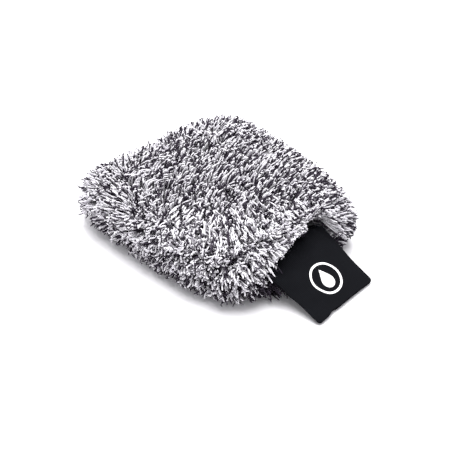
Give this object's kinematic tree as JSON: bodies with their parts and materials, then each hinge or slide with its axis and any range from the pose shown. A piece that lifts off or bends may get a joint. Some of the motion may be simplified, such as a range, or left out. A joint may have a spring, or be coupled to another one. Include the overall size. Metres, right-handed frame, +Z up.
{
  "type": "wash mitt",
  "caption": "Rectangular car wash mitt with deep two-tone tufted microfibre pile on both sides, a lined hand pocket and a flat knitted wrist cuff.",
  "frame": {"origin": "centre of the whole mitt's box, on the surface that it lies on", "axes": "+Z up, away from the surface; +Y towards the fingertips; -Y towards the open end of the cuff; X across the palm"},
  "size_m": [0.1996, 0.2656, 0.052],
  "materials": {
    "pile_white": "twisted microfibre strands, white, soft sheen",
    "pile_charcoal": "twisted microfibre strands, charcoal, soft sheen",
    "ground_knit": "warp-knitted backing cloth of the pile, matt",
    "lining_mesh": "fine knitted lining, matt",
    "seam_thread": "overlocked polyester thread",
    "wrist_binding": "overlocked black thread and binding",
    "cuff_knit": "fine black rib knit, matt with a faint sheen",
    "cuff_thread": "black overlocked thread",
    "print_white": "flexible white transfer print, satin"
  },
  "bodies": {
    "mitt": {"back_pile": "pile_white", "palm_pile": "pile_charcoal", "back_panel": "ground_knit", "palm_panel": "ground_knit", "lining_back": "lining_mesh", "lining_palm": "lining_mesh", "shell_seam": "seam_thread", "lining_seam": "seam_thread", "wrist_seam": "wrist_binding"},
    "cuff": {"cuff": "cuff_knit", "cuff_seam": "cuff_thread", "cuff_print": "print_white"}
  },
  "joints": [
    {"name": "wrist_flex", "type": "hinge", "parent": "mitt", "child": "cuff", "pos_m": [0.0008, -0.06424, 0.02837], "axis": [-0.9934, -0.1149, 0], "range_deg": [0, 60]}
  ]
}
